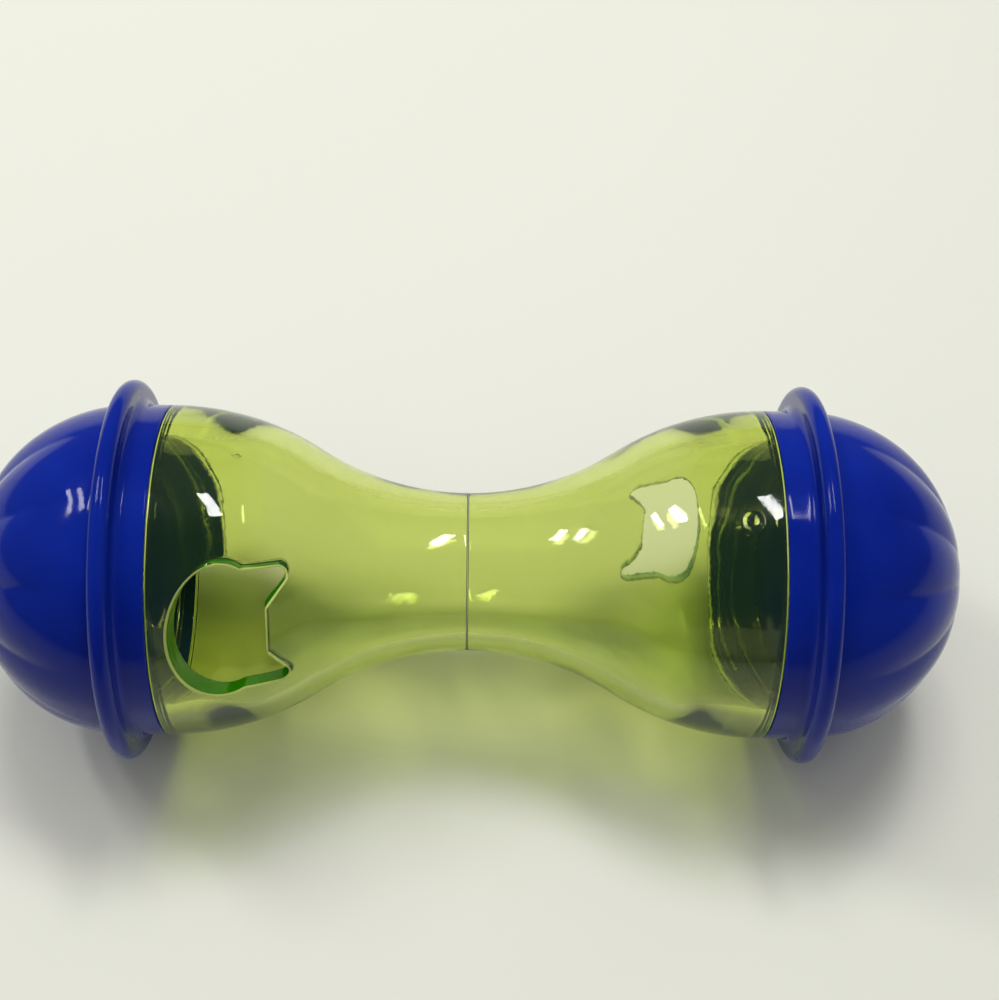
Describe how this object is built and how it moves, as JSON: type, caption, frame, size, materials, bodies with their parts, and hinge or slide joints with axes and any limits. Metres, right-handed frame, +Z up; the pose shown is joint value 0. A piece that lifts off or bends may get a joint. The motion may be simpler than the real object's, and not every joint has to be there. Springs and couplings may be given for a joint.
{
  "type": "cat puzzle feeder",
  "caption": "Dumbbell-shaped treat feeder: clear waisted tube with a cat-head hole in each half and a blue fluted screw cap on each end.",
  "frame": {"origin": "on the tube's axis in the waist seam, halfway between the two domes", "axes": "+X along the tube towards the right cap, +Z up with the feeder lying on its two flanges"},
  "size_m": [0.1426, 0.055, 0.055],
  "materials": {
    "clear_tube": "clear tinted, glossy",
    "blue_cap": "slightly translucent, glossy"
  },
  "bodies": {
    "tube": {"left_half": "clear_tube", "right_half": "clear_tube"},
    "left_cap": {"left_cap": "blue_cap"},
    "right_cap": {"right_cap": "blue_cap"}
  },
  "joints": [
    {"name": "left_cap_off", "type": "slide", "parent": "tube", "child": "left_cap", "axis": [-1, 0, 0], "range_m": [0, 0.04]},
    {"name": "right_cap_off", "type": "slide", "parent": "tube", "child": "right_cap", "axis": [1, 0, 0], "range_m": [0, 0.04]}
  ]
}
